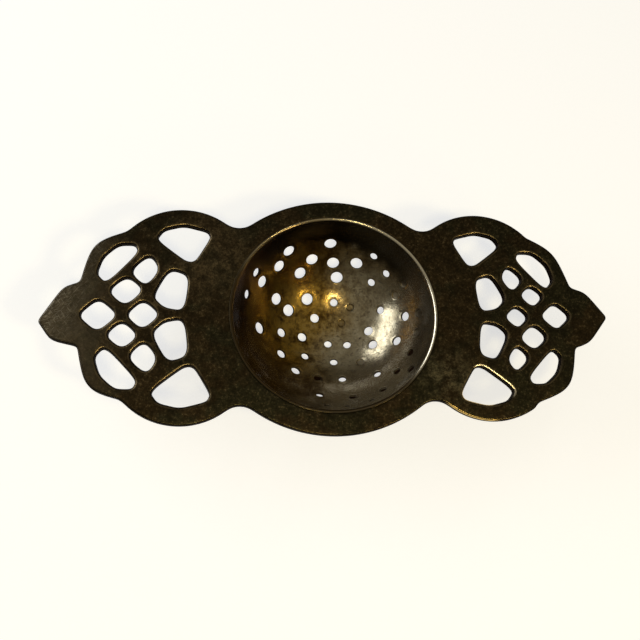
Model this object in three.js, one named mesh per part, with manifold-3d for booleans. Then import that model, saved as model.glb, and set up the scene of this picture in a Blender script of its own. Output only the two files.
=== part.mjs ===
// Two-handled tea strainer: a flat plate with a round flange and two pierced, lobed and pointed
// handles, a thin drilled bowl let into the flange, and the ring of solder that holds the bowl.
// Millimetres. +Z up, +X along the handles. The origin is on the small flat under the bowl, on
// which the strainer stands.

import * as THREE from 'three';
import { mergeVertices } from 'three/addons/utils/BufferGeometryUtils.js';
import Module from 'manifold-3d';

const wasm = await Module();
wasm.setup();

// ---- Driving dimensions ----
const PLATE_THICKNESS = 2.2;
const MOUTH_RADIUS = 28.4;
const BOWL_DEPTH = 21.0;
const BOWL_WALL = 0.9;
const FOOT_RADIUS = 3.0;
const LIP_HEIGHT = 0.2;
const FIT_GAP = 0.1;
const SEAM_WIDTH = 1.5;
const SEAM_DEPTH = 1.6;
const SEAM_HOLLOW = 0.25;

// The bowl was raised and let in by hand: it is a little narrower across the handles than along
// them, and sits a little off the middle of the flange. Everything round about it is worked out as
// if it were truly round and in the middle, and is then squeezed and moved.
const BOWL_SQUEEZE = 0.96;
const BOWL_MIDDLE = { x: 0.2, y: 0.8 };

// Fineness of the facets.
const ROUND_SEGMENTS = 72;
const BOWL_RINGS = 8;
const HOLE_SEGMENTS = 8;
const CURVE_STEPS = 4;
const ARC_STEP = 1.6;
const SAME_POINT = 0.02;
const WELD = 1e-4;

// ---- Worked out from them ----
const INNER_RADIUS = (MOUTH_RADIUS ** 2 + BOWL_DEPTH ** 2) / (2 * BOWL_DEPTH);
const OUTER_RADIUS = INNER_RADIUS + BOWL_WALL;
const SPHERE_Z = Math.sqrt(OUTER_RADIUS ** 2 - FOOT_RADIUS ** 2);
const PLATE_TOP = SPHERE_Z - INNER_RADIUS + BOWL_DEPTH;
const PLATE_BOTTOM = PLATE_TOP - PLATE_THICKNESS;

// Radius of the bowl's outer face at height z.
const outerRadiusAt = (z) => Math.sqrt(OUTER_RADIUS ** 2 - (SPHERE_Z - z) ** 2);

const BOWL_SEAT_RADIUS = outerRadiusAt(PLATE_TOP) + FIT_GAP;

// ---- Plate outline ----
// One pattern, laid out for the quarter at +X +Y. Each quarter was finished by hand, so its large
// lobe, its small lobe and its leaf differ a little from the others'. cusp is how far the notch
// between the two lobes strayed, and trim is how far the small lobe was filed back.
const EVEN_LOBE = { x: 42.0, y: 9.9, r: 20.5 };
const BROAD_LOBE = { x: 42.2, y: 9.8, r: 20.8 };
const LONG_LOBE = { x: 44.3, y: 8.9, r: 20.8 };
const RIGHT_LEAF = { tip: [79.7, 0], corner: [73.9, 7.4] };
const LEFT_LEAF_ABOVE = { tip: [79.9, -2.1], corner: [73.8, 7.4] };
const LEFT_LEAF_BELOW = { tip: [79.9, 2.1], corner: [76.4, 7.2] };
const FLANGE_ABOVE = { x: 0, y: -6.0, r: 39.7 };
const FLANGE_BELOW = { x: 0, y: -6.0, r: 39.4 };
const QUARTERS = {
  rightUpper: {
    signX: 1, signY: 1, flange: FLANGE_ABOVE, lobe: BROAD_LOBE, cusp: [0, 0.2], trim: 0.9,
    leaf: RIGHT_LEAF,
  },
  leftUpper: {
    signX: -1, signY: 1, flange: FLANGE_ABOVE, lobe: EVEN_LOBE, cusp: [0, 0], trim: 0,
    leaf: LEFT_LEAF_ABOVE,
  },
  leftLower: {
    signX: -1, signY: -1, flange: FLANGE_BELOW, lobe: EVEN_LOBE, cusp: [0.2, -0.3], trim: -0.3,
    leaf: LEFT_LEAF_BELOW,
  },
  rightLower: {
    signX: 1, signY: -1, flange: FLANGE_BELOW, lobe: LONG_LOBE, cusp: [-0.5, 1.0], trim: -0.7,
    leaf: RIGHT_LEAF,
  },
};
const VALLEY_RADIUS = 6.0;
const LARGE_LOBE_END = 56.3;
const LOBE_CUSP = [57.3, 23.7];
const SMALL_LOBE = { start: [58.4, 23.3], lead: [66.4, 20.6], tail: [66.9, 19.3], end: [69.1, 9.9] };
const TRIM_DIRECTION = [-1.0, -0.7];
const LEAF_CUSP = [69.4, 8.9];
const LEAF_START = [70.4, 8.6];
// Shares of the leaf's sides taken up by the roundings of its tip and of its corner.
const TIP_ROUNDING = 0.12;
const CORNER_TO_TIP = 0.25;
const CORNER_TO_CUSP = 0.45;

// Point part of the way from a to b, both [x, y].
const between = (a, b, share) => [a[0] + (b[0] - a[0]) * share, a[1] + (b[1] - a[1]) * share];

// Direction from the centre of a circle to a point, in radians.
const bearing = (circle, x, y) => Math.atan2(y - circle.y, x - circle.x);

// Centre of the circle of radius r that touches circles a and b from outside, on the +Y side.
function fillet(a, b, r) {
  const toA = a.r + r;
  const toB = b.r + r;
  const span = Math.hypot(b.x - a.x, b.y - a.y);
  const along = (toA ** 2 - toB ** 2 + span ** 2) / (2 * span);
  const across = Math.sqrt(toA ** 2 - along ** 2);
  const ux = (b.x - a.x) / span;
  const uy = (b.y - a.y) / span;
  return { x: a.x + along * ux - across * uy, y: a.y + along * uy + across * ux, r };
}

// Points along a path: more on long arcs than on short curves, none twice.
function samplePath(path) {
  const points = [];
  for (const curve of path.curves) {
    const steps = curve.isLineCurve ? 1 : Math.max(CURVE_STEPS, Math.round(curve.getLength() / ARC_STEP));
    for (const p of curve.getPoints(steps)) {
      const last = points[points.length - 1];
      if (!last || last.distanceTo(p) > SAME_POINT) points.push(p);
    }
  }
  return points;
}

// Outline of one quarter, from just beside the handle's tip to the middle of the flange's edge.
function quarterOutline({ flange, lobe, cusp, trim, leaf }) {
  const valley = fillet(flange, lobe, VALLEY_RADIUS);
  const lobeEndX = LARGE_LOBE_END + cusp[0];
  const lobeEnd = [lobeEndX, lobe.y + Math.sqrt(lobe.r ** 2 - (lobeEndX - lobe.x) ** 2)];
  const strayed = ([x, y]) => [x + cusp[0], y + cusp[1]];
  const trimmed = ([x, y]) => [x + trim * TRIM_DIRECTION[0], y + trim * TRIM_DIRECTION[1]];
  const path = new THREE.Path();
  path.moveTo(...between(leaf.tip, leaf.corner, TIP_ROUNDING));
  path.lineTo(...between(leaf.corner, leaf.tip, CORNER_TO_TIP));
  path.quadraticCurveTo(...leaf.corner, ...between(leaf.corner, LEAF_START, CORNER_TO_CUSP));
  path.lineTo(...LEAF_START);
  path.quadraticCurveTo(...LEAF_CUSP, ...SMALL_LOBE.end);
  path.bezierCurveTo(
    ...trimmed(SMALL_LOBE.tail), ...trimmed(SMALL_LOBE.lead), ...strayed(SMALL_LOBE.start));
  path.quadraticCurveTo(...strayed(LOBE_CUSP), ...lobeEnd);
  path.absarc(lobe.x, lobe.y, lobe.r, bearing(lobe, ...lobeEnd), bearing(lobe, valley.x, valley.y), false);
  path.absarc(valley.x, valley.y, valley.r,
    bearing(valley, lobe.x, lobe.y), bearing(valley, flange.x, flange.y), true);
  path.absarc(flange.x, flange.y, flange.r, bearing(flange, valley.x, valley.y), Math.PI / 2, false);
  return samplePath(path);
}

// Whole outline, counter-clockwise, with both tips rounded.
function plateOutline() {
  const placed = (quarter) => quarterOutline(quarter)
    .map((p) => new THREE.Vector2(p.x * quarter.signX, p.y * quarter.signY));
  const rightUpper = placed(QUARTERS.rightUpper);
  const leftUpper = placed(QUARTERS.leftUpper).reverse().slice(1);
  const leftLower = placed(QUARTERS.leftLower);
  const rightLower = placed(QUARTERS.rightLower).reverse().slice(1);
  const rounded = (from, tip, to) => new THREE.QuadraticBezierCurve(from, tip, to)
    .getPoints(CURVE_STEPS).slice(1, -1);
  const rightTip = new THREE.Vector2(...RIGHT_LEAF.tip);
  const leftTip = new THREE.Vector2(-LEFT_LEAF_ABOVE.tip[0], LEFT_LEAF_ABOVE.tip[1]);
  return [
    ...rightUpper,
    ...leftUpper,
    ...rounded(leftUpper.at(-1), leftTip, leftLower[0]),
    ...leftLower,
    ...rightLower,
    ...rounded(rightLower.at(-1), rightTip, rightUpper[0]),
  ];
}

// ---- Openings of one handle, as corners that are then rounded ----
// cut is the share of each side that a rounded corner takes up. They were pierced by eye: for each
// quarter an opening has its size and how far it strayed outwards and away from the long axis.
const OPENINGS = [
  {
    cut: 0.3,
    corners: [[39.5, 14.0], [49.2, 21.4], [47.2, 24.2], [41.9, 25.5], [35.5, 23.9], [34.7, 22.1]],
    rightUpper: [0.95, 0.3, -0.3],
    leftUpper: [1.03, -0.2, 0.2],
    leftLower: [1.1, 0, -0.2],
    rightLower: [1.06, 0.8, -0.3],
  },
  {
    cut: 0.36,
    corners: [[41.6, 1.3], [46.8, 2.1], [49.9, 5.2], [45.7, 12.9], [40.4, 11.2]],
    rightUpper: [0.93, 0.3, 0],
    leftUpper: [1.03, -0.2, 0],
    leftLower: [1.04, -0.2, 0],
    rightLower: [0.93, 0.3, 0],
  },
  {
    cut: 0.42,
    corners: [[52.0, 7.9], [56.0, 11.9], [51.2, 16.3], [48.7, 12.3]],
    rightUpper: [0.94, -0.1, -0.7],
    leftUpper: [1.14, -0.2, 0.5],
    leftLower: [1.13, -0.2, -0.2],
    rightLower: [0.93, 0.1, 0],
  },
  {
    cut: 0.4,
    corners: [[57.6, 2.3], [61.8, 6.2], [57.3, 10.0], [53.2, 6.4]],
    rightUpper: [0.84, 0.2, 0],
    leftUpper: [1.14, -0.4, 0.5],
    leftLower: [1.04, 0.3, -0.5],
    rightLower: [1.0, -0.2, -0.3],
  },
  {
    cut: 0.34,
    corners: [[62.2, 8.5], [64.9, 11.3], [63.3, 16.2], [59.3, 19.8], [54.8, 19.9], [53.8, 17.6]],
    rightUpper: [0.97, -0.3, -0.5],
    leftUpper: [0.99, 0.2, 0.1],
    leftLower: [1.02, -0.2, 0.5],
    rightLower: [0.88, 0.5, -0.1],
  },
  {
    cut: 0.38,
    corners: [[48.3, 0], [52.5, -3.8], [56.6, 0], [52.5, 3.8]],
    rightUpper: [0.87, 0.3, 0],
    leftUpper: [1.13, -0.1, 0],
  },
  {
    cut: 0.34,
    corners: [[59.3, 0], [64.3, -4.4], [69.3, 0], [64.3, 4.4]],
    rightUpper: [0.92, 0, 0.3],
    leftUpper: [1.08, 0, -0.2],
  },
];

// A closed loop through the sides of a polygon, with each corner rounded.
function roundedLoop(corners, cut) {
  const path = new THREE.Path();
  path.moveTo(...between(corners[0], corners[1], cut));
  for (let i = 1; i <= corners.length; i += 1) {
    const corner = corners[i % corners.length];
    path.lineTo(...between(corner, corners[i - 1], cut));
    path.quadraticCurveTo(...corner, ...between(corner, corners[(i + 1) % corners.length], cut));
  }
  return samplePath(path).slice(0, -1);
}

// One opening, sized about its middle, moved and mirrored into its quarter.
function openingLoop({ corners, cut }, [size, outwards, away], { signX, signY }) {
  const mean = (axis) => corners.reduce((sum, corner) => sum + corner[axis], 0) / corners.length;
  const middle = [mean(0), mean(1)];
  const placed = corners.map((corner) => {
    const [x, y] = between(middle, corner, size);
    return [(x + outwards) * signX, (y + away) * signY];
  });
  return roundedLoop(placed, cut);
}

// ---- Holes of the bowl ----
// Drilled by hand in uneven rings with a few drills, each hole at [bearing in degrees, distance
// from the middle]. The side around 225 degrees was left undrilled near the rim.
const DRILLED = [
  {
    diameter: 3.5,
    holes: [
      [121, 11.0], [154, 12.7], [79, 16.1], [151, 17.3], [116, 18.4], [85, 19.7], [184, 20.3],
      [103, 20.8], [66, 21.0], [130, 22.6], [148, 23.0], [89, 24.1], [119, 24.4],
    ],
  },
  {
    diameter: 2.7,
    holes: [
      [132, 5.0], [199, 7.7], [356, 12.5], [187, 13.7], [338, 14.5], [212, 16.3], [235, 17.0],
      [345, 20.5], [5, 22.3], [163, 25.1], [147, 25.5],
    ],
  },
  {
    diameter: 2.2,
    holes: [
      [276, 4.6], [321, 7.9], [74, 8.9], [280, 10.8], [233, 11.0], [18, 16.7], [283, 17.0],
      [46, 18.9], [311, 20.7], [261, 22.4], [42, 22.8], [57, 24.1],
    ],
  },
];

// Holes that have filled up: some are worn nearly flush, others are choked with old tea and are
// still deep. Each kind is open for only a part of the wall.
const BLOCKED = [
  {
    diameter: 2.2,
    depth: 0.3,
    holes: [
      [24, 5.2], [43, 10.1], [311, 14.6], [24, 21.7], [28, 24.5], [351, 25.0], [4, 25.4], [178, 26.0],
    ],
  },
  {
    diameter: 2.2,
    depth: 0.65,
    holes: [[258, 16.5], [284, 23.9], [320, 24.3], [336, 24.7], [303, 25.6], [324, 26.8]],
  },
  {
    diameter: 1.5,
    depth: 0.65,
    holes: [[265, 26.5], [277, 27.0], [292, 27.1]],
  },
];

// ---- Solids ----

// Manifold solid from a closed three.js geometry.
function solidOf(geometry, matrix = new THREE.Matrix4()) {
  const bare = geometry.clone().applyMatrix4(matrix);
  bare.deleteAttribute('normal');
  bare.deleteAttribute('uv');
  const merged = mergeVertices(bare, WELD);
  return new wasm.Manifold(new wasm.Mesh({
    numProp: 3,
    vertProperties: new Float32Array(merged.attributes.position.array),
    triVerts: new Uint32Array(merged.index.array),
  }));
}

// three.js geometry from a manifold solid.
function geometryOf(solid) {
  const mesh = solid.getMesh();
  const geometry = new THREE.BufferGeometry();
  geometry.setAttribute('position', new THREE.BufferAttribute(new Float32Array(mesh.vertProperties), 3));
  geometry.setIndex(new THREE.BufferAttribute(new Uint32Array(mesh.triVerts), 1));
  geometry.computeVertexNormals();
  return geometry;
}

// A profile of [radius, height] pairs turned about the Z axis.
function turned(profile) {
  const points = profile.map(([r, z]) => new THREE.Vector2(r, z));
  const geometry = new THREE.LatheGeometry(points, ROUND_SEGMENTS);
  return geometry.rotateX(Math.PI / 2);
}

// Pairs along a circle about the sphere's centre, from angle a to angle b off straight down.
function bowlArc(radius, a, b) {
  const pairs = [];
  for (let i = 0; i <= BOWL_RINGS; i += 1) {
    const angle = a + ((b - a) * i) / BOWL_RINGS;
    pairs.push([radius * Math.sin(angle), SPHERE_Z - radius * Math.cos(angle)]);
  }
  return pairs;
}

// A round geometry squeezed and moved as the bowl was.
function asRaised(geometry) {
  return geometry.scale(1, BOWL_SQUEEZE, 1).translate(BOWL_MIDDLE.x, BOWL_MIDDLE.y, 0);
}

function framePlate() {
  const shape = new THREE.Shape(plateOutline());
  for (const opening of OPENINGS) {
    for (const [name, quarter] of Object.entries(QUARTERS)) {
      if (opening[name]) shape.holes.push(new THREE.Path(openingLoop(opening, opening[name], quarter)));
    }
  }
  const seat = new THREE.Path();
  const narrow = BOWL_SEAT_RADIUS * BOWL_SQUEEZE;
  seat.absellipse(BOWL_MIDDLE.x, BOWL_MIDDLE.y, BOWL_SEAT_RADIUS, narrow, 0, 2 * Math.PI, false);
  shape.holes.push(new THREE.Path(seat.getPoints(ROUND_SEGMENTS).slice(0, -1)));
  const geometry = new THREE.ExtrudeGeometry(shape, { depth: PLATE_THICKNESS, bevelEnabled: false });
  return geometryOf(solidOf(geometry.translate(0, 0, PLATE_BOTTOM)));
}

// Drill for one hole: a cylinder that points at the sphere's centre and cuts to a given depth.
function drill([bearingDegrees, distance], diameter, depth) {
  const tilt = Math.asin(distance / INNER_RADIUS);
  const geometry = new THREE.CylinderGeometry(diameter / 2, diameter / 2, 2 * depth, HOLE_SEGMENTS);
  const matrix = new THREE.Matrix4()
    .makeTranslation(0, 0, SPHERE_Z)
    .multiply(new THREE.Matrix4().makeRotationZ(THREE.MathUtils.degToRad(bearingDegrees)))
    .multiply(new THREE.Matrix4().makeRotationY(-tilt))
    .multiply(new THREE.Matrix4().makeTranslation(0, 0, -INNER_RADIUS))
    .multiply(new THREE.Matrix4().makeRotationX(Math.PI / 2));
  return solidOf(geometry, matrix);
}

function strainerBowl() {
  const lipTop = PLATE_TOP + LIP_HEIGHT;
  const outerLip = outerRadiusAt(PLATE_TOP);
  const profile = [
    [0, 0],
    ...bowlArc(OUTER_RADIUS, Math.asin(FOOT_RADIUS / OUTER_RADIUS), Math.asin(outerLip / OUTER_RADIUS)),
    [outerLip, lipTop],
    [MOUTH_RADIUS, lipTop],
    ...bowlArc(INNER_RADIUS, Math.asin(MOUTH_RADIUS / INNER_RADIUS), 0),
  ];
  let bowl = solidOf(turned(profile));
  for (const { diameter, holes } of DRILLED) {
    for (const hole of holes) bowl = bowl.subtract(drill(hole, diameter, 2 * BOWL_WALL));
  }
  for (const { diameter, depth, holes } of BLOCKED) {
    for (const hole of holes) bowl = bowl.subtract(drill(hole, diameter, depth));
  }
  return asRaised(geometryOf(bowl));
}

function solderSeam() {
  const top = PLATE_BOTTOM - FIT_GAP;
  const low = top - SEAM_DEPTH;
  const middle = (low + top) / 2;
  const onBowl = (z) => outerRadiusAt(z) + FIT_GAP;
  const profile = [
    [onBowl(low), low],
    [(onBowl(low) + onBowl(top) + SEAM_WIDTH) / 2 - SEAM_HOLLOW, middle + SEAM_HOLLOW],
    [onBowl(top) + SEAM_WIDTH, top],
    [onBowl(top), top],
    [onBowl(middle), middle],
    [onBowl(low), low],
  ];
  return asRaised(geometryOf(solidOf(turned(profile))));
}

// ---- Assembly ----

function piece(name, geometry, color, roughness) {
  const material = new THREE.MeshStandardMaterial({ color, roughness, metalness: 1 });
  const mesh = new THREE.Mesh(geometry, material);
  mesh.name = name;
  return mesh;
}

const strainer = new THREE.Group();
strainer.add(piece('frame_plate', framePlate(), 0x4a4436, 0.45));
strainer.add(piece('strainer_bowl', strainerBowl(), 0x8a6f3c, 0.35));
strainer.add(piece('solder_seam', solderSeam(), 0x8d8b84, 0.4));

export default strainer;
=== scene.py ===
"""Looks of a two-handled tea strainer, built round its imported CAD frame.

Metres, +Z up, +X along the handles. The plate, the bowl and the ring of solder are fine meshes
that take their outlines, holes and heights from the CAD nodes they stand for.
"""
import math

import bmesh
import bpy
import numpy as np
from mathutils import Matrix, Vector, noise
from mathutils.geometry import delaunay_2d_cdt
from mathutils.kdtree import KDTree


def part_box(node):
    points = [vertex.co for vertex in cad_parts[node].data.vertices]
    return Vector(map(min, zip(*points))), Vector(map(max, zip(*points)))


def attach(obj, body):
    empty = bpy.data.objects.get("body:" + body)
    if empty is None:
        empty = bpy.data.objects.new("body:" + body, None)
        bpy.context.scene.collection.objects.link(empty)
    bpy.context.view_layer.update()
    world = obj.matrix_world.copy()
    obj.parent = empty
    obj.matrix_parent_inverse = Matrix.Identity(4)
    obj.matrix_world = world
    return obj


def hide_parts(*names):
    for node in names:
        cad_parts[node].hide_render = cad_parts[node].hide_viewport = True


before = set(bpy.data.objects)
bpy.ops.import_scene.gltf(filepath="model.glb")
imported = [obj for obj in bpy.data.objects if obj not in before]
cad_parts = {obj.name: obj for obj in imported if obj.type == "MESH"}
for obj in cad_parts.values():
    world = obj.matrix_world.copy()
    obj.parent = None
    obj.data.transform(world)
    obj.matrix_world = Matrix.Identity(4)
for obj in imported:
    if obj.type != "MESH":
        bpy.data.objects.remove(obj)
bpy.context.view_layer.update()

MM = 0.001
TOUCH = 0.01 * MM
SAME_PLACE = 1e-6       # distance in millimetres within which outline points are one

# Fineness of the meshes.
LOOP_STEP = 0.36 * MM
GRID_STEP = 0.85 * MM
CORNER_CUTS = 2
ROUNDING_STEPS = 5
RIM_POINTS = 300
HOLE_POINTS = 28
BEVEL_STEPS = 5
LIP_CORNER_STEPS = 4
SOLDER_STEPS = 8

# A row's point is dropped where another edge is nearer than this share of the row's own distance.
ROW_CLEARANCE = 0.97

# How close the grid's points may come to the rows round an edge, as shares of a grid step.
PLATE_CLEARANCE = 0.35
HOLE_CLEARANCE = 0.5
RIM_CLEARANCE = 0.6

# How far the edges are rounded.
OUTLINE_ROUNDING = 0.55 * MM
OPENING_ROUNDING = 0.75 * MM
SEAT_ROUNDING = 0.15 * MM
UNDER_ROUNDING = 0.25 * MM
HOLE_ROUNDING = 0.2 * MM

# How far the surfaces wander, as hand-finished metal does: (depth, distance between swells).
PLATE_SWELLS = [(0.05 * MM, 9 * MM), (0.02 * MM, 3.5 * MM)]
BOWL_SWELLS = [(0.045 * MM, 8 * MM), (0.008 * MM, 3 * MM)]
RIM_FADE = 2 * MM       # width of the band under the bowl's rim in which its swells die away

# The bowl's lip: a bevel that leans inwards, and a rounded outer edge.
LIP_BEVEL = 0.52 * MM
LIP_SLOPE = math.radians(36)
LIP_CROWN = math.radians(9)
LIP_ROUNDING = 0.16 * MM
LIP_CLEARANCE = 0.03 * MM
SEAT_GAP = 0.02 * MM

# Drilled holes: the largest lean of their walls, as a cosine, and the depths that tell one that
# goes through from one choked with old tea and one worn flush.
HOLE_WALL_LEAN = 0.15
THROUGH_DEPTH = 0.8 * MM
CHOKED_DEPTH = 0.5 * MM
HOLE_REACH = 9 * MM             # distance from the holes past which it isn't told apart
PLUG_RISE = 0.08 * MM           # how far a filled hole's floor lies above the CAD's
PLUG_ROUGHNESS = 0.05 * MM
PLUG_GRAIN = 40                 # fineness of that roughness
PLUG_RINGS = (0.66, 0.33)       # rings of points inside a hole, as shares of its radius

# The solder's lumps, and how far it reaches into its neighbours.
SOLDER_LUMPS = 0.12 * MM
SOLDER_GRAIN = 8
SOLDER_OVERLAP = 0.05 * MM

# The stage: one wide cool window and three small warm lamps, each as (name, direction, watts, colour).
WINDOW_DISTANCE = 0.6
WINDOW_SIZE = (0.60, 0.18)
LAMP_DISTANCE = 0.7
LAMP_SIZE = (0.09, 0.09)
LAMPS = [
    ("lamp_right", (0.488, -0.394, 0.779), 1.0, (1.0, 0.80, 0.36)),
    ("lamp_front", (-0.016, -0.386, 0.922), 1.0, (1.0, 0.80, 0.36)),
    ("lamp_low", (0.56, -0.71, 0.42), 0.3, (1.0, 0.66, 0.24)),
]
FLOOR_HALF_WIDTH = 2.0
SENSOR_WIDTH = 36.0
CLIP_START = 0.01
CAMERA = {
    "place": (-0.03047, -0.05707, 0.24089),
    "right": (0.9932, -0.0218, 0.1142),
    "up": (-0.0069, 0.9694, 0.2454),
    "ahead": (0.1161, 0.2445, -0.9627),
    "lens": 46.25,
}


# ---- Reading the CAD nodes ----

def cad_surface(node):
    """Points of a CAD node, merged where they meet, and its triangles, as arrays."""
    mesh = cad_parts[node].data
    mesh.calc_loop_triangles()
    places = np.empty(len(mesh.vertices) * 3)
    mesh.vertices.foreach_get("co", places)
    corners = np.empty(len(mesh.loop_triangles) * 3, np.int32)
    mesh.loop_triangles.foreach_get("vertices", corners)
    points, index = np.unique(places.reshape(-1, 3), axis=0, return_inverse=True)
    return points, index.ravel()[corners].reshape(-1, 3)


def top_loops(points, triangles, height):
    """Loops of (x, y) points round a flat top face, the metal on their left, the longest first."""
    flat = triangles[np.all(np.abs(points[triangles][:, :, 2] - height) < TOUCH, axis=1)]
    edges = {(a, b) for t in flat.tolist() for a, b in zip(t, t[1:] + t[:1])}
    follows = {a: b for a, b in edges if (b, a) not in edges}
    loops = []
    while follows:
        first, here = follows.popitem()
        loop = [first]
        while here != first:
            loop.append(here)
            here = follows.pop(here)
        loops.append(points[loop, :2])
    return sorted(loops, key=lambda loop: -np.ptp(loop[:, 0]))


def bowl_shape():
    """Middle of the bowl in plan, and how much narrower it is across the handles than along them."""
    low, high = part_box("strainer_bowl")
    middle = np.array([(low.x + high.x) / 2, (low.y + high.y) / 2, 0])
    return middle, np.array([1, (high.y - low.y) / (high.x - low.x), 1])


def made_round(points):
    """Points of the CAD bowl, moved and stretched so that it is round about the Z axis."""
    middle, squeeze = bowl_shape()
    return (points - middle) / squeeze


def as_raised(points):
    """Back from the round bowl to the bowl as it sits in the flange."""
    middle, squeeze = bowl_shape()
    size = points.shape[1]
    return points * squeeze[:size] + middle[:size]


def bowl_measures(points):
    """Centre height and radii of the round bowl's two spheres, its lip's radius, and its heights."""
    low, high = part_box("strainer_bowl")
    lip = (high.x - low.x) / 2
    reach = np.hypot(points[:, 0], points[:, 1])
    mouth = reach[np.abs(points[:, 2] - high.z) < TOUCH].min()
    floor = points[reach < TOUCH, 2].max()
    plate_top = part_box("frame_plate")[1].z
    depth = plate_top - floor
    inner = (mouth ** 2 + depth ** 2) / (2 * depth)
    centre = floor + inner
    outer = math.hypot(lip, centre - plate_top)
    return {"centre": centre, "inner": inner, "outer": outer, "lip": lip,
            "lip_top": high.z, "plate_top": plate_top, "foot": low.z}


def bowl_holes(points, triangles, bowl):
    """Each drilled hole as (direction from the bowl's centre, radius, depth), found as a group of
    joined triangles that face neither inwards nor outwards."""
    middle = np.array([0, 0, bowl["centre"]])
    corners = points[triangles]
    normals = np.cross(corners[:, 1] - corners[:, 0], corners[:, 2] - corners[:, 0])
    areas = np.linalg.norm(normals, axis=1)
    normals /= areas[:, None]
    outwards = corners.mean(axis=1) - middle
    outwards /= np.linalg.norm(outwards, axis=1)[:, None]
    walls = np.flatnonzero(np.abs((normals * outwards).sum(axis=1)) < HOLE_WALL_LEAN)
    island = {}

    def root(point):
        while island.setdefault(point, point) != point:
            point = island[point]
        return point

    for t in triangles[walls].tolist():
        island[root(t[0])] = root(t[1])
        island[root(t[1])] = root(t[2])
    groups = {}
    for wall in walls.tolist():
        groups.setdefault(root(int(triangles[wall][0])), []).append(wall)
    holes = []
    for _, group in sorted(groups.items()):
        across = normals[group] * areas[group][:, None] ** 0.5
        axis = np.linalg.eigh(across.T @ across)[1][:, 0]
        axis *= np.sign(axis @ outwards[group].mean(axis=0))
        used = points[np.unique(triangles[group])] - middle
        off_axis = np.linalg.norm(used - np.outer(used @ axis, axis), axis=1)
        depth = np.linalg.norm(used, axis=1).max() - bowl["inner"]
        holes.append((axis, off_axis.max(), depth))
    return holes


# ---- Two-dimensional outlines ----

def cut_corners(loop, times):
    """The loop with each corner cut by a quarter of its sides, a few times over."""
    for _ in range(times):
        ahead = np.roll(loop, -1, axis=0)
        loop = np.stack([0.75 * loop + 0.25 * ahead, 0.25 * loop + 0.75 * ahead], axis=1)
        loop = loop.reshape(-1, 2)
    return loop


def evenly(loop, step):
    """Points at even steps round a closed loop."""
    closed = np.vstack([loop, loop[:1]])
    lengths = np.linalg.norm(np.diff(closed, axis=0), axis=1)
    along = np.concatenate([[0], np.cumsum(lengths)])
    at = np.linspace(0, along[-1], round(along[-1] / step), endpoint=False)
    return np.stack([np.interp(at, along, closed[:, k]) for k in (0, 1)], axis=1)


def circle(radius, count, clockwise=False):
    """Points at even steps round a circle about the origin."""
    turn = np.linspace(0, 2 * math.pi, count, endpoint=False) * (-1 if clockwise else 1)
    return radius * np.stack([np.cos(turn), np.sin(turn)], axis=1)


def within(loop, spots):
    """Which spots lie inside a loop."""
    inside = np.zeros(len(spots), bool)
    x, y = spots[:, 0], spots[:, 1]
    for (ax, ay), (bx, by) in zip(loop, np.roll(loop, -1, axis=0)):
        crosses = (ay > y) != (by > y)
        if ay != by:
            inside ^= crosses & (x < ax + (y - ay) * (bx - ax) / (by - ay))
    return inside


def tree_of(spots):
    """A search tree that finds the nearest of some flat points."""
    tree = KDTree(len(spots))
    for i, (x, y) in enumerate(spots):
        tree.insert((x, y, 0), i)
    tree.balance()
    return tree


def rounding_distances(radius):
    """Distances from an edge at which a quarter round of that radius gets a row of points."""
    turns = np.linspace(0, math.pi / 2, ROUNDING_STEPS + 1)[1:]
    return radius * (1 - np.cos(turns))


def drop(distance, radius):
    """How far a quarter round lies below its flat, at a distance from the edge."""
    left = np.clip(radius - distance, 0, None)
    return radius - np.sqrt(radius ** 2 - left ** 2)


def rings(loop, distances, tree):
    """Points at set distances from a loop on its left side, and those distances."""
    ahead = np.roll(loop, -1, axis=0) - np.roll(loop, 1, axis=0)
    ahead /= np.linalg.norm(ahead, axis=1)[:, None]
    left = np.stack([-ahead[:, 1], ahead[:, 0]], axis=1)
    kept, away = [], []
    for distance in distances:
        for x, y in loop + distance * left:
            if tree.find((x, y, 0))[2] > ROW_CLEARANCE * distance:
                kept.append((x, y))
                away.append(distance)
    return np.array(kept), np.array(away)


def grid(low, high, step):
    """Points of a triangular grid over a rectangle."""
    rows = np.arange(low[1], high[1], step * math.sqrt(3) / 2)
    columns = np.arange(low[0], high[0], step)
    return np.array([(x + (step / 2) * (i % 2), y) for i, y in enumerate(rows) for x in columns])


def fill(loops, free):
    """Triangles over the loops' points and the free points, and the loop each lies in: 0 for the
    metal, which is inside the first loop only, -1 outside it."""
    spots = np.vstack([*loops, free])
    edges, start = [], 0
    for loop in loops:
        edges += [(start + i, start + (i + 1) % len(loop)) for i in range(len(loop))]
        start += len(loop)
    flat = [Vector(spot) for spot in (spots / MM).tolist()]
    made = delaunay_2d_cdt(flat, edges, [], 0, SAME_PLACE)
    source = [first[0] for first in made[3]]
    triangles = np.array([[source[i] for i in face] for face in made[2]])
    centres = spots[triangles].mean(axis=1)
    region = np.where(within(loops[0], centres), 0, -1)
    for number, loop in enumerate(loops[1:], start=1):
        near = np.flatnonzero(np.all((centres > loop.min(axis=0)) & (centres < loop.max(axis=0)), axis=1))
        region[near[within(loop, centres[near])]] = number
    return spots, triangles, region


# ---- Meshes ----

def swell(points, swells):
    """Slow wandering of a surface at each point, from 0 to the sum of the depths."""
    total = np.zeros(len(points))
    for depth, apart in swells:
        total += [depth * (0.5 + 0.5 * noise.noise(Vector(p / apart))) for p in points]
    return total


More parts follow.
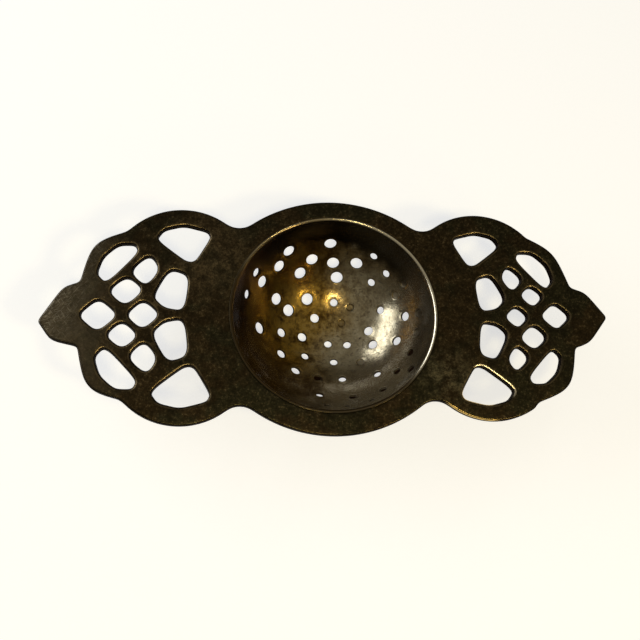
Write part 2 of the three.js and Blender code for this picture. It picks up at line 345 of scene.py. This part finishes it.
def make_piece(name, points, faces, values, node, material):
    """A smooth closed mesh object that stands for a CAD node, with named values at its points."""
    mesh = bpy.data.meshes.new(name)
    used = np.unique([i for face in faces for i in face])
    renumber = np.zeros(len(points), int)
    renumber[used] = np.arange(len(used))
    mesh.from_pydata(points[used].tolist(), [], [[int(renumber[i]) for i in face] for face in faces])
    for label, numbers in values.items():
        attribute = mesh.attributes.new(label, "FLOAT", "POINT")
        attribute.data.foreach_set("value", np.asarray(numbers, np.float32)[used])
    solid = bmesh.new()
    solid.from_mesh(mesh)
    bmesh.ops.recalc_face_normals(solid, faces=solid.faces)
    solid.to_mesh(mesh)
    solid.free()
    mesh.shade_smooth()
    mesh.materials.append(material)
    piece = bpy.data.objects.new(name, mesh)
    bpy.context.scene.collection.objects.link(piece)
    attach(piece, "root")
    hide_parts(node)
    return piece


def strip(upper, lower):
    """Quads between two closed rows of point numbers."""
    count = len(upper)
    return [[upper[i], upper[(i + 1) % count], lower[(i + 1) % count], lower[i]] for i in range(count)]


def plate_piece(bowl, material):
    """The flange and its two pierced handles, one sheet with rounded edges."""
    low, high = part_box("frame_plate")
    outline, _, *openings = top_loops(*cad_surface("frame_plate"), high.z)
    seat = as_raised(circle(bowl["lip"] + SEAT_GAP, RIM_POINTS, clockwise=True))
    loops = [evenly(cut_corners(loop, CORNER_CUTS), LOOP_STEP) for loop in (outline, *openings)]
    loops.append(seat)
    roundings = [OUTLINE_ROUNDING, *[OPENING_ROUNDING] * len(openings), SEAT_ROUNDING]
    tree = tree_of(np.vstack(loops))
    free, away, round_by = [], [], []
    for loop, rounding in zip(loops, roundings):
        spots, distances = rings(loop, rounding_distances(rounding), tree)
        free.append(spots)
        away.append(distances)
        round_by.append(np.full(len(spots), rounding))
    inner = grid(outline.min(axis=0), outline.max(axis=0), GRID_STEP)
    inner = inner[within(loops[0], inner)]
    for loop in loops[1:]:
        inner = inner[~within(loop, inner)]
    gaps = np.array([tree.find((x, y, 0))[2] for x, y in inner])
    clear = gaps > OPENING_ROUNDING + PLATE_CLEARANCE * GRID_STEP
    free.append(inner[clear])
    away.append(gaps[clear])
    round_by.append(np.full(clear.sum(), OPENING_ROUNDING))
    spots, triangles, region = fill(loops, np.vstack(free))
    edge_count = sum(len(loop) for loop in loops)
    distance = np.concatenate([np.zeros(edge_count), *away])
    rounding = np.concatenate([*[np.full(len(p), r) for p, r in zip(loops, roundings)], *round_by])
    metal = triangles[region == 0]

    level = np.column_stack([spots, np.zeros(len(spots))])
    top = high.z - drop(distance, rounding) - swell(level, PLATE_SWELLS)
    under = low.z + drop(distance, np.minimum(rounding, UNDER_ROUNDING)) + swell(level + 1, PLATE_SWELLS)
    count = len(spots)
    points = np.vstack([np.column_stack([spots, top]), np.column_stack([spots, under])])
    faces = metal.tolist() + (metal + count).tolist()
    start = 0
    for loop in loops:
        row = list(range(start, start + len(loop)))
        faces += strip(row, [i + count for i in row])
        start += len(loop)
    values = {
        "from_edge": np.tile(np.where(rounding == SEAT_ROUNDING, GRID_STEP, distance) / MM, 2),
        "wall": np.tile(distance == 0, 2),
        "pierced": np.tile(rounding == OPENING_ROUNDING, 2),
    }
    return make_piece("plate", points, faces, values, "frame_plate", material)


def direction(spots):
    """Unit directions for flat spots laid out by angle off straight down."""
    tilt = np.hypot(spots[:, 0], spots[:, 1])
    share = np.sinc(tilt / math.pi)
    return np.column_stack([spots * share[:, None], -np.cos(tilt)])


def spot(directions):
    """The flat spots of unit directions: the inverse of direction()."""
    tilt = np.arccos(np.clip(-directions[:, 2], -1, 1))
    share = np.sinc(tilt / math.pi)
    return directions[:, :2] / share[:, None]


def round_hole(axis, tilt):
    """Directions round an axis, all at one angle off it."""
    side = np.cross(axis, [0, 0, 1])
    side = side / np.linalg.norm(side) if np.linalg.norm(side) > TOUCH else np.array([1.0, 0, 0])
    other = np.cross(axis, side)
    turn = np.linspace(0, 2 * math.pi, HOLE_POINTS, endpoint=False)
    ring = np.outer(np.cos(turn), side) + np.outer(np.sin(turn), other)
    return math.cos(tilt) * axis + math.sin(tilt) * ring


def lip_rows(bowl, rim_tilt):
    """Radius and height of each row over the bowl's lip, from inside to outside."""
    radius = bowl["inner"] * math.sin(rim_tilt)
    height = bowl["centre"] - bowl["inner"] * math.cos(rim_tilt)
    rows = []
    for i in range(1, BEVEL_STEPS + 1):
        lean = LIP_SLOPE + LIP_CROWN * (1 - 2 * (i - 0.5) / BEVEL_STEPS)
        radius += LIP_BEVEL / BEVEL_STEPS * math.cos(LIP_SLOPE)
        height += LIP_BEVEL / BEVEL_STEPS * math.cos(LIP_SLOPE) * math.tan(lean)
        rows.append((radius, height))
    corner = (bowl["lip"] - LIP_ROUNDING, height - LIP_ROUNDING)
    for i in range(LIP_CORNER_STEPS + 1):
        turn = math.pi / 2 * (1 - i / LIP_CORNER_STEPS)
        rows.append((corner[0] + LIP_ROUNDING * math.cos(turn), corner[1] + LIP_ROUNDING * math.sin(turn)))
    return rows


def bowl_piece(bowl, holes, material):
    """The drilled bowl: an inner and an outer skin, joined over the lip and through the holes."""
    bevel_height = LIP_BEVEL * math.sin(LIP_SLOPE) + LIP_CLEARANCE
    rim_tilt = math.acos((bowl["centre"] - bowl["lip_top"] + bevel_height) / bowl["inner"])
    loops = [circle(rim_tilt, RIM_POINTS)]
    free, away = [], []
    for axis, radius, _ in holes:
        loops.append(spot(round_hole(axis, math.asin(radius / bowl["inner"]))))
        for distance in rounding_distances(HOLE_ROUNDING):
            free.append(spot(round_hole(axis, math.asin((radius + distance) / bowl["inner"]))))
            away.append(np.full(HOLE_POINTS, distance))
        for share in PLUG_RINGS:
            free.append(spot(round_hole(axis, math.asin(radius * share / bowl["inner"])))[::2])
            away.append(np.zeros(HOLE_POINTS // 2))
    step = GRID_STEP / bowl["inner"]
    inner = grid((-rim_tilt, -rim_tilt), (rim_tilt, rim_tilt), step)
    inner = inner[np.hypot(inner[:, 0], inner[:, 1]) < rim_tilt - RIM_CLEARANCE * step]
    gaps = np.full(len(inner), bowl["inner"])
    for axis, radius, _ in holes:
        chord = np.linalg.norm(direction(inner) - axis, axis=1)
        gaps = np.minimum(gaps, bowl["inner"] * 2 * np.arcsin(chord / 2) - radius)
    clear = gaps > HOLE_ROUNDING + HOLE_CLEARANCE * GRID_STEP
    free.append(inner[clear])
    away.append(gaps[clear])
    spots, triangles, region = fill(loops, np.vstack(free))

    count = len(spots)
    edge_count = sum(len(loop) for loop in loops)
    rim_gap = bowl["inner"] * (rim_tilt - np.hypot(spots[:, 0], spots[:, 1]))
    far = np.full(RIM_POINTS, bowl["inner"])
    hole_gap = np.concatenate([far, np.zeros(edge_count - RIM_POINTS), *away])
    out = direction(spots)
    middle = np.array([0, 0, bowl["centre"]])
    fall = drop(hole_gap, HOLE_ROUNDING)
    fade = np.clip(rim_gap / RIM_FADE, 0, 1)
    wander = swell(out * bowl["inner"], BOWL_SWELLS) * fade
    outer_wander = swell(out * bowl["inner"] + 1, BOWL_SWELLS) * fade
    inside = middle + out * (bowl["inner"] + fall - wander)[:, None]
    outside = middle + out * (bowl["outer"] - fall - outer_wander)[:, None]
    outside[:, 2] = np.maximum(outside[:, 2], bowl["foot"])
    pit = PLUG_ROUGHNESS * np.array([noise.noise(Vector(d * PLUG_GRAIN)) for d in out])
    choked = np.zeros(count)
    faces = triangles[region == 0].tolist() + (triangles[region == 0] + count).tolist()
    start = RIM_POINTS
    for number, (_, _, depth) in enumerate(holes, start=1):
        row = list(range(start, start + HOLE_POINTS))
        start += HOLE_POINTS
        if depth > THROUGH_DEPTH:
            faces += strip(row, [i + count for i in row])
        else:
            plug = triangles[region == number]
            pit[np.unique(plug)] += depth - PLUG_RISE
            choked[np.unique(plug)] = depth > CHOKED_DEPTH
            faces += strip(row, [i + 2 * count for i in row])
            faces += (plug + 2 * count).tolist() + (plug + count).tolist()
    floor = middle + out * (bowl["inner"] + pit)[:, None]
    rim = spots[:RIM_POINTS] / rim_tilt
    rows = lip_rows(bowl, rim_tilt)
    points = [inside, outside, floor]
    for radius, height in rows:
        points.append(np.column_stack([rim * radius, np.full(RIM_POINTS, height)]))
    previous = list(range(RIM_POINTS))
    for number in range(len(rows)):
        row = list(range(3 * count + number * RIM_POINTS, 3 * count + (number + 1) * RIM_POINTS))
        faces += strip(previous, row)
        previous = row
    faces += strip(previous, list(range(count, count + RIM_POINTS)))
    lip_count = RIM_POINTS * len(rows)
    hole_mm = np.minimum(hole_gap, HOLE_REACH) / MM
    on_flat = np.repeat(np.arange(len(rows)) >= BEVEL_STEPS, RIM_POINTS)
    values = {
        "from_hole": np.concatenate([np.tile(hole_mm, 3), np.full(lip_count, HOLE_REACH / MM)]),
        "from_rim": np.concatenate([np.tile(rim_gap / MM, 3), -on_flat.astype(float)]),
        "outside": np.concatenate([np.zeros(count), np.ones(count), np.zeros(count + lip_count)]),
        "filled": np.concatenate([np.zeros(2 * count), np.ones(count), np.zeros(lip_count)]),
        "choked": np.concatenate([np.zeros(2 * count), choked, np.zeros(lip_count)]),
    }
    raised = as_raised(np.vstack(points))
    return make_piece("bowl", raised, faces, values, "strainer_bowl", material)


def solder_piece(bowl, material):
    """The fillet of solder in the corner between the flange's underside and the bowl."""
    low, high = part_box("solder_seam")
    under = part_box("frame_plate")[0].z
    reach = (high.x - low.x) / 2
    on_bowl = math.sqrt(bowl["outer"] ** 2 - (bowl["centre"] - low.z) ** 2)
    start = (on_bowl - SOLDER_OVERLAP, low.z)
    corner = (on_bowl + 0.25 * (reach - on_bowl), low.z + 0.75 * (under - low.z))
    end = (reach, under + SOLDER_OVERLAP)
    profile = []
    for i in range(SOLDER_STEPS + 1):
        t = i / SOLDER_STEPS
        profile.append([(1 - t) ** 2 * a + 2 * t * (1 - t) * b + t * t * c
                        for a, b, c in zip(start, corner, end)])
    # Two more rows, out of sight in the flange and in the bowl's wall, close the ring.
    hidden = [(reach - 1.2 * MM, under + SOLDER_OVERLAP), (on_bowl - 0.4 * MM, low.z + 0.2 * MM)]
    points, rows = [], []
    for radius, height in profile + hidden:
        ring = circle(1, RIM_POINTS)
        rows.append(list(range(len(points) * RIM_POINTS, (len(points) + 1) * RIM_POINTS)))
        spread = [Vector((SOLDER_GRAIN * x, SOLDER_GRAIN * y, height / MM)) for x, y in ring]
        lumps = np.array([noise.noise(place) for place in spread])
        is_hidden = (radius, height) in hidden
        wide = np.full(RIM_POINTS, radius) if is_hidden else radius + SOLDER_LUMPS * (lumps - 1)
        points.append(np.column_stack([ring * wide[:, None], np.full(RIM_POINTS, height)]))
    faces = []
    for row, after in zip(rows, rows[1:] + rows[:1]):
        faces += strip(row, after)
    raised = as_raised(np.vstack(points))
    return make_piece("solder", raised, faces, {}, "solder_seam", material)


# ---- Materials ----

class Finish:
    """A material with one Principled shader, and short calls for the nodes that feed it."""

    def __init__(self, name):
        self.material = bpy.data.materials.new(name)
        self.material.use_nodes = True
        self.tree = self.material.node_tree
        self.shader = next(n for n in self.tree.nodes if n.type == "BSDF_PRINCIPLED")
        self.where = self.tree.nodes.new("ShaderNodeTexCoord").outputs["Object"]

    def put(self, socket, value):
        """Join a node's output to a socket, or set the socket to a number or a colour."""
        if isinstance(value, bpy.types.NodeSocket):
            self.tree.links.new(value, socket)
        elif hasattr(value, "__len__") and len(value) == 3 and socket.type == "RGBA":
            socket.default_value = (*value, 1)
        else:
            socket.default_value = value

    def add(self, kind, inputs, **settings):
        """A new node with its inputs and its settings."""
        node = self.tree.nodes.new(kind)
        for name, value in settings.items():
            setattr(node, name, value)
        for key, value in inputs.items():
            self.put(node.inputs[key], value)
        return node

    def named(self, label):
        """One of the values that the mesh carries at its points."""
        return self.add("ShaderNodeAttribute", {}, attribute_name=label).outputs["Fac"]

    def mottle(self, size, detail=4.0, roughness=0.55, distortion=0.0, offset=0.0):
        """Noise from 0 to 1 with blotches of about that size."""
        moved = {0: self.where, 1: (offset, offset, offset)}
        place = self.add("ShaderNodeVectorMath", moved, operation="ADD")
        node = self.add("ShaderNodeTexNoise", {
            "Vector": place.outputs[0], "Scale": 0.5 / size, "Detail": detail,
            "Roughness": roughness, "Distortion": distortion})
        return node.outputs["Fac"]

    def streaks(self, length, width, turn, detail=2.0):
        """Noise drawn out along one direction in the plane of the plate, as fine scratches are."""
        place = self.add("ShaderNodeMapping", {
            "Vector": self.where, "Rotation": (0, 0, turn), "Scale": (2 * length, 2 * width, 2 * width)},
            vector_type="TEXTURE")
        node = self.add("ShaderNodeTexNoise", {
            "Vector": place.outputs["Vector"], "Scale": 1.0, "Detail": detail})
        return node.outputs["Fac"]

    def step(self, value, low, high, start=0.0, end=1.0):
        """A smooth change from start to end while value goes from low to high."""
        node = self.add("ShaderNodeMapRange", {
            "Value": value, "From Min": low, "From Max": high, "To Min": start, "To Max": end},
            interpolation_type="SMOOTHSTEP")
        return node.outputs["Result"]

    def maths(self, operation, a, b):
        return self.add("ShaderNodeMath", {0: a, 1: b}, operation=operation).outputs[0]

    def blend(self, share, first, second):
        node = self.add("ShaderNodeMix", {}, data_type="RGBA")
        self.put(node.inputs["Factor"], share)
        self.put(node.inputs[6], first)
        self.put(node.inputs[7], second)
        return node.outputs[2]

    def along(self, x, y):
        """Distance along a direction in plan, in metres."""
        node = self.add("ShaderNodeVectorMath", {0: self.where, 1: (x, y, 0)}, operation="DOT_PRODUCT")
        return node.outputs["Value"]

    def patch(self, middle, inner, outer):
        """1 in the middle of a round patch in plan and 0 outside it; all in millimetres."""
        x, y = middle
        flat = self.add("ShaderNodeVectorMath", {0: self.where, 1: (1, 1, 0)}, operation="MULTIPLY")
        ends = {0: flat.outputs[0], 1: (x * MM, y * MM, 0)}
        gap = self.add("ShaderNodeVectorMath", ends, operation="DISTANCE")
        return self.step(gap.outputs["Value"], outer * MM, inner * MM)

    def bump(self, height, distance, below=None):
        """A normal that follows a height, on top of another bump if one is given."""
        node = self.add("ShaderNodeBump", {"Height": height, "Distance": distance, "Strength": 1.0})
        if below is not None:
            self.put(node.inputs["Normal"], below)
        return node.outputs["Normal"]

    def shade(self, **inputs):
        """Set the shader's inputs, named in lower case with underscores."""
        for name, value in inputs.items():
            self.put(self.shader.inputs[name.replace("_", " ").title()], value)


def plate_finish():
    """Old silver plate under brown-black tarnish, rubbed through on its edges."""
    m = Finish("tarnished_plate")
    broad = m.mottle(7 * MM, detail=5, roughness=0.65)
    blotch = m.mottle(1.5 * MM, detail=7, roughness=0.8, offset=0.3)
    grain = m.mottle(0.36 * MM, detail=4, roughness=0.8, offset=0.7)
    brown = (0.042, 0.030, 0.016)
    olive = (0.030, 0.029, 0.017)
    black = (0.013, 0.010, 0.006)
    tan = (0.150, 0.118, 0.072)
    worn_metal = (0.112, 0.084, 0.049)
    handled_metal = (0.17, 0.155, 0.105)
    scuffed_metal = (0.115, 0.096, 0.070)
    scratched_metal = (0.42, 0.39, 0.33)
    rubbed_edge = (0.21, 0.165, 0.10)
    # Painted light: a white glint, a gold glint, a dark line of shade on the edges, and black shade on the
    # sides.
    painted_glint_colour = (0.75, 0.68, 0.55)
    painted_gold_glint_colour = (0.72, 0.52, 0.20)
    painted_edge_shade = (0.012, 0.008, 0.005)
    painted_wall_shade = (0.006, 0.004, 0.003)
    colour = m.blend(m.step(broad, 0.42, 0.58), brown, olive)

    # Two places where hands have worn the tarnish thin, then dark pores and bright flecks all over.
    worn = m.maths("MULTIPLY", m.patch((-34, 17), 5, 17), m.step(blotch, 0.40, 0.62, 0.45, 1.0))
    colour = m.blend(m.maths("MULTIPLY", worn, 0.65), colour, worn_metal)
    handled = m.maths("MULTIPLY", m.patch((31, -17), 2, 11), m.step(blotch, 0.40, 0.62))
    colour = m.blend(m.maths("MULTIPLY", handled, 0.6), colour, handled_metal)
    colour = m.blend(m.step(blotch, 0.40, 0.58, 0.40, 0.0), colour, black)
    colour = m.blend(m.step(grain, 0.52, 0.40, 0.0, 0.6), colour, black)
    fleck = m.maths("MULTIPLY", m.step(grain, 0.53, 0.68), m.step(blotch, 0.38, 0.60, 0.25, 1.0))
    colour = m.blend(m.maths("MULTIPLY", fleck, 0.75), colour, tan)

    # The left leaf is scuffed grey and scratched at its point.
    left_end = m.maths("ADD", m.along(1, 0), m.maths("MULTIPLY", blotch, 8 * MM))
    scuff = m.step(m.mottle(0.7 * MM, detail=6, roughness=0.8, distortion=0.6), 0.36, 0.64, 0.45, 1.0)
    scuffed = m.maths("MULTIPLY", m.step(left_end, -0.050, -0.072), scuff)
    colour = m.blend(scuffed, colour, scuffed_metal)
    strokes = m.step(m.streaks(1.3 * MM, 0.16 * MM, 0.9, 4), 0.56, 0.68)
    for turn in (0.3, 2.2):
        strokes = m.maths("MAXIMUM", strokes, m.step(m.streaks(1.3 * MM, 0.16 * MM, turn, 4), 0.57, 0.69))
    strokes = m.maths("MULTIPLY", strokes, m.step(m.along(1, -0.35), -0.066, -0.080))
    colour = m.blend(m.maths("MULTIPLY", strokes, 0.75), colour, scratched_metal)

    # Openings have a rubbed shoulder. Every edge but the bowl's seat ends in a dark line of painted shade,
    # and its sides are painted black as shade. One side of the lower right opening carries a painted white
    # glint, and a stretch of the edge below it a painted gold glint.
    edge = m.named("from_edge")
    wall = m.named("wall")
    patchy = m.step(m.mottle(3.0 * MM, detail=4, offset=1.1), 0.38, 0.58, 0.1, 0.6)
    shoulder = m.maths("MULTIPLY", m.step(edge, 0.85, 0.65), m.step(edge, 0.24, 0.40))
    shoulder = m.maths("MULTIPLY", shoulder, m.named("pierced"))
    colour = m.blend(m.maths("MULTIPLY", shoulder, patchy), colour, rubbed_edge)
    # Painted highlight: a white glint along one side of the lower right opening.
    bright = m.maths("MULTIPLY", shoulder, m.patch((45.8, -17), 6, 8))
    bright = m.maths("MULTIPLY", bright, m.step(m.along(0.61, 0.79), 0.0165, 0.0155))
    bright = m.maths("MULTIPLY", bright, m.step(m.along(0.61, 0.79), 0.0118, 0.0125))
    colour = m.blend(bright, colour, painted_glint_colour)
    # Painted shade: a dark line along every edge but the bowl's seat.
    colour = m.blend(m.step(edge, 0.42, 0.24), colour, painted_edge_shade)
    # Painted highlight: a gold glint along a stretch of the outer edge at the lower right.
    painted_gold_glint = m.maths("MULTIPLY", m.step(edge, 0.55, 0.20), m.patch((37.5, -28), 5.5, 8.5))
    colour = m.blend(painted_gold_glint, colour, painted_gold_glint_colour)
    # Painted shade: the plate's sides near black.
    colour = m.blend(m.step(wall, 0.1, 0.7, 0.0, 0.95), colour, painted_wall_shade)
    roughness = m.step(blotch, 0.35, 0.65, 0.36, 0.50)
    roughness = m.maths("SUBTRACT", roughness, m.maths("MULTIPLY", m.step(edge, 0.85, 0.60), 0.20))
    roughness = m.maths("ADD", roughness, m.step(wall, 0.1, 0.7, 0.0, 0.4))
    metallic = m.step(wall, 0.1, 0.7, 0.95, 0.0)
    scratches = m.maths("ADD", m.streaks(9 * MM, 0.12 * MM, 0.4), m.streaks(7 * MM, 0.10 * MM, -0.9))
    normal = m.bump(grain, 0.03 * MM)
    normal = m.bump(scratches, 0.012 * MM, normal)
    normal = m.bump(blotch, 0.05 * MM, normal)
    m.shade(base_color=colour, roughness=roughness, metallic=metallic, normal=normal)
    m.shader.inputs["Specular IOR Level"].default_value = 0.0
    return m.material


def bowl_finish():
    """Worn gilding: gold brown at one side, rubbed to silver grey at the other."""
    m = Finish("gilt_bowl")
    broad = m.mottle(9 * MM, detail=4, roughness=0.6)
    blotch = m.mottle(1.8 * MM, detail=7, roughness=0.75, offset=0.4)
    grain = m.mottle(0.5 * MM, detail=4, roughness=0.8, offset=0.9)
    uneven = m.maths("SUBTRACT", blotch, 0.5)
    gold = (0.405, 0.265, 0.060)
    bronze = (0.140, 0.086, 0.019)
    umber = (0.064, 0.034, 0.008)
    silver = (0.46, 0.420, 0.325)
    slate = (0.36, 0.318, 0.230)
    pore = (0.05, 0.032, 0.016)
    pale_gold = (0.50, 0.37, 0.13)
    pale_silver = (0.66, 0.60, 0.47)
    tea_spot = (0.03, 0.018, 0.010)
    # Painted shade: brown and black under the far rim, grey under the rim on the right wall.
    painted_brown_shade = (0.020, 0.009, 0.003)
    painted_black_shade = (0.003, 0.0018, 0.0008)
    painted_grey_shade = (0.055, 0.051, 0.040)
    tarnished_lip = (0.085, 0.060, 0.031)
    # The next two lip colours are wear with a painted highlight, along the top and at the right.
    lip_wear_and_highlight = (0.34, 0.29, 0.20)
    lip_polish_and_highlight = (0.66, 0.62, 0.52)
    lip_edge = (0.055, 0.043, 0.025)
    dark_skin = (0.09, 0.07, 0.042)
    light_skin = (0.26, 0.22, 0.15)
    worn_shadow = (0.03, 0.02, 0.012)
    # Nearly black for choked holes, old tea and also painted shade; then painted shade for the hole walls.
    old_tea_and_shade = (0.016, 0.008, 0.005)
    painted_hole_shade = (0.010, 0.006, 0.004)
    gilt = m.blend(m.step(blotch, 0.36, 0.58), umber, gold)
    dull = m.blend(m.step(blotch, 0.40, 0.60), umber, bronze)
    gilt = m.blend(m.patch((-4, 2), 8, 18), dull, gilt)
    bare = m.blend(m.step(blotch, 0.40, 0.60), slate, silver)
    across = m.maths("ADD", m.along(0.92, -0.40), m.maths("MULTIPLY", uneven, 0.03))
    across = m.maths("ADD", across, m.maths("MULTIPLY", m.maths("SUBTRACT", broad, 0.5), 0.03))
    colour = m.blend(m.step(across, -0.008, 0.013), gilt, bare)
    colour = m.blend(m.step(grain, 0.48, 0.36, 0.0, 0.6), colour, pore)
    flecks = m.step(grain, 0.58, 0.70, 0.0, 0.45)
    for turn in (0.5, 1.4, -0.6):
        nicks = m.step(m.streaks(1.6 * MM, 0.13 * MM, turn, 3), 0.60, 0.72, 0.0, 0.4)
        flecks = m.maths("MAXIMUM", flecks, nicks)
    pale = m.blend(m.step(across, -0.008, 0.013), pale_gold, pale_silver)
    colour = m.blend(flecks, colour, pale)
    spots = m.step(m.mottle(1.1 * MM, detail=2, offset=2.3), 0.30, 0.24)
    colour = m.blend(m.maths("MULTIPLY", spots, 0.8), colour, tea_spot)

    # Painted shade: black under the far rim, turning brown at its left end, and grey under the rim at the
    # right.
    from_rim = m.named("from_rim")
    reach = m.maths("ADD", from_rim, m.maths("MULTIPLY", uneven, 6.0))
    far_side = m.step(m.along(-0.35, 0.94), -0.002, 0.010)
    shade_under_rim = m.maths("MULTIPLY", m.step(reach, 13.0, 7.0), far_side)
    # Painted shade under the far rim, brown at the left end, black elsewhere.
    painted_rim_shade = m.blend(m.step(m.along(1, 0), -0.026, -0.014), painted_brown_shade, painted_black_shade)
    colour = m.blend(m.maths("MULTIPLY", shade_under_rim, 0.99), colour, painted_rim_shade)
    # Painted shade: grey under the rim on the right wall.
    shade_on_right_wall = m.maths("MULTIPLY", m.step(reach, 12.5, 5.5), m.step(m.along(1, 0.3), 0.010, 0.022))
    colour = m.blend(m.maths("MULTIPLY", shade_on_right_wall, 0.8), colour, painted_grey_shade)

    # The lip's bevel: tarnish and wear with a painted highlight, lighter along the top and brightest at
    # the right; and the plainer skin of the bowl's outside.
    bevel = m.maths("MULTIPLY", m.step(from_rim, 0.12, 0.0), m.step(from_rim, -0.9, -0.1))
    # Painted highlight on the lip's bevel, lighter along the top and brightest at the right, over tarnish
    # and wear.
    bevel_metal_and_highlight = m.blend(m.step(m.along(-0.4, 0.92), 0.020, 0.027), tarnished_lip, lip_wear_and_highlight)
    bevel_metal_and_highlight = m.blend(m.step(m.along(0.90, 0.44), 0.008, 0.020), bevel_metal_and_highlight, lip_polish_and_highlight)
    colour = m.blend(m.step(from_rim, -0.1, -0.9), colour, lip_edge)
    colour = m.blend(bevel, colour, bevel_metal_and_highlight)
    skin = m.blend(m.step(broad, 0.4, 0.6), dark_skin, light_skin)
    colour = m.blend(m.named("outside"), colour, skin)

    # Holes: filled ones are dull if worn flush and nearly black if choked, which is old tea and also
    # painted shade seen through holes; all have walls painted dark as shade.
    filled = m.named("filled")
    choked = m.named("choked")
    worn_flush = m.blend(0.55, colour, worn_shadow)
    # Choked holes nearly black: old tea, and painted shade where the holes stand for shade seen through
    # them.
    colour = m.blend(filled, colour, m.blend(choked, worn_flush, old_tea_and_shade))
    open_metal = m.maths("SUBTRACT", 1.0, filled)
    hole_wall = m.maths("MULTIPLY", m.step(m.named("from_hole"), 0.20, 0.04), open_metal)
    # Painted shade on the walls of the holes.
    colour = m.blend(m.maths("MULTIPLY", hole_wall, 0.9), colour, painted_hole_shade)
    roughness = m.step(blotch, 0.35, 0.65, 0.22, 0.15)
    roughness = m.maths("ADD", roughness, m.maths("MULTIPLY", filled, 0.3))
    roughness = m.maths("ADD", roughness, m.maths("MULTIPLY", hole_wall, 0.5))
    metallic = m.step(m.maths("MAXIMUM", choked, hole_wall), 0.3, 1.0, 0.88, 0.15)
    scratches = m.maths("ADD", m.streaks(8 * MM, 0.10 * MM, 0.5), m.streaks(6 * MM, 0.09 * MM, -0.6))
    normal = m.bump(grain, 0.012 * MM)
    normal = m.bump(scratches, 0.008 * MM, normal)
    normal = m.bump(blotch, 0.008 * MM, normal)
    m.shade(base_color=colour, roughness=roughness, metallic=metallic, normal=normal)
    m.shader.inputs["Specular IOR Level"].default_value = 0.0
    return m.material


def solder_finish():
    """Dull grey solder, a little darker in its hollows."""
    m = Finish("silver_solder")
    blotch = m.mottle(1.8 * MM, detail=5)
    grain = m.mottle(0.4 * MM, detail=3, offset=0.5)
    dark_grey = (0.13, 0.12, 0.10)
    light_grey = (0.34, 0.32, 0.28)
    colour = m.blend(m.step(blotch, 0.35, 0.65), dark_grey, light_grey)
    m.shade(base_color=colour, roughness=m.step(grain, 0.3, 0.7, 0.38, 0.55), metallic=0.9,
            normal=m.bump(blotch, 0.08 * MM))
    return m.material


def floor_finish():
    """Plain pale paper with a faint tooth."""
    m = Finish("pale_floor")
    tooth = m.mottle(0.6 * MM, detail=2)
    cool_white = (0.56, 0.58, 0.64)
    pale_white = (0.60, 0.62, 0.68)
    m.shade(base_color=m.blend(tooth, cool_white, pale_white), roughness=0.8,
            normal=m.bump(tooth, 0.02 * MM), emission_color=(0.98, 0.99, 1.0), emission_strength=0.64)
    return m.material


# ---- Stage ----

def floor(height):
    mesh = bpy.data.meshes.new("floor")
    solid = bmesh.new()
    bmesh.ops.create_grid(solid, x_segments=8, y_segments=8, size=FLOOR_HALF_WIDTH)
    solid.to_mesh(mesh)
    solid.free()
    mesh.materials.append(floor_finish())
    plane = bpy.data.objects.new("floor", mesh)
    plane.location.z = height
    bpy.context.scene.collection.objects.link(plane)


def soft_light(name, target, towards, distance, size, power, colour):
    """A rectangular area light that faces the target, given its width and height in metres."""
    lamp = bpy.data.lights.new(name, "AREA")
    lamp.shape = "RECTANGLE"
    lamp.size, lamp.size_y = size
    lamp.energy = power
    lamp.color = colour
    holder = bpy.data.objects.new(name, lamp)
    way = Vector(towards).normalized()
    holder.location = target + way * distance
    holder.rotation_mode = "QUATERNION"
    holder.rotation_quaternion = way.to_track_quat("Z", "Y")
    bpy.context.scene.collection.objects.link(holder)


def room(strength_low, strength_high):
    """A warm room, dim near the floor and brighter overhead."""
    world = bpy.data.worlds.new("room")
    world.use_nodes = True
    tree = world.node_tree
    sky = tree.nodes["Background"]
    towards = tree.nodes.new("ShaderNodeTexCoord")
    parts = tree.nodes.new("ShaderNodeSeparateXYZ")
    tree.links.new(towards.outputs["Generated"], parts.inputs[0])
    rise = tree.nodes.new("ShaderNodeMapRange")
    rise.interpolation_type = "SMOOTHSTEP"
    rise.inputs["From Min"].default_value = 0.15
    rise.inputs["From Max"].default_value = 0.95
    rise.inputs["To Min"].default_value = strength_low
    rise.inputs["To Max"].default_value = strength_high
    tree.links.new(parts.outputs["Z"], rise.inputs["Value"])
    tree.links.new(rise.outputs["Result"], sky.inputs["Strength"])
    sky.inputs["Color"].default_value = (1.0, 0.90, 0.68, 1)
    bpy.context.scene.world = world


def camera(place, right, up, ahead, lens):
    """A camera at a place, given the directions to its right, its top and ahead of it."""
    shot = bpy.data.cameras.new("camera")
    shot.lens = lens
    shot.sensor_width = SENSOR_WIDTH
    shot.clip_start = CLIP_START
    holder = bpy.data.objects.new("camera", shot)
    axes = Matrix([right, up, [-n for n in ahead]]).transposed()
    holder.matrix_world = Matrix.Translation(place) @ axes.to_4x4()
    bpy.context.scene.collection.objects.link(holder)
    bpy.context.scene.camera = holder


bowl_points, bowl_triangles = cad_surface("strainer_bowl")
bowl_points = made_round(bowl_points)
bowl = bowl_measures(bowl_points)
holes = bowl_holes(bowl_points, bowl_triangles, bowl)
plate_piece(bowl, plate_finish())
bowl_piece(bowl, holes, bowl_finish())
solder_piece(bowl, solder_finish())

floor(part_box("strainer_bowl")[0].z)
middle = Vector((0, 0, bowl["plate_top"]))
soft_light("window", middle, (-0.80, 0.37, 0.47), WINDOW_DISTANCE, WINDOW_SIZE, 1.3, (1.0, 1.0, 0.94))
for name, towards, power, colour in LAMPS:
    soft_light(name, middle, towards, LAMP_DISTANCE, LAMP_SIZE, power, colour)
room(0.03, 0.26)
bpy.context.scene.view_settings.view_transform = "Standard"
camera(**CAMERA)
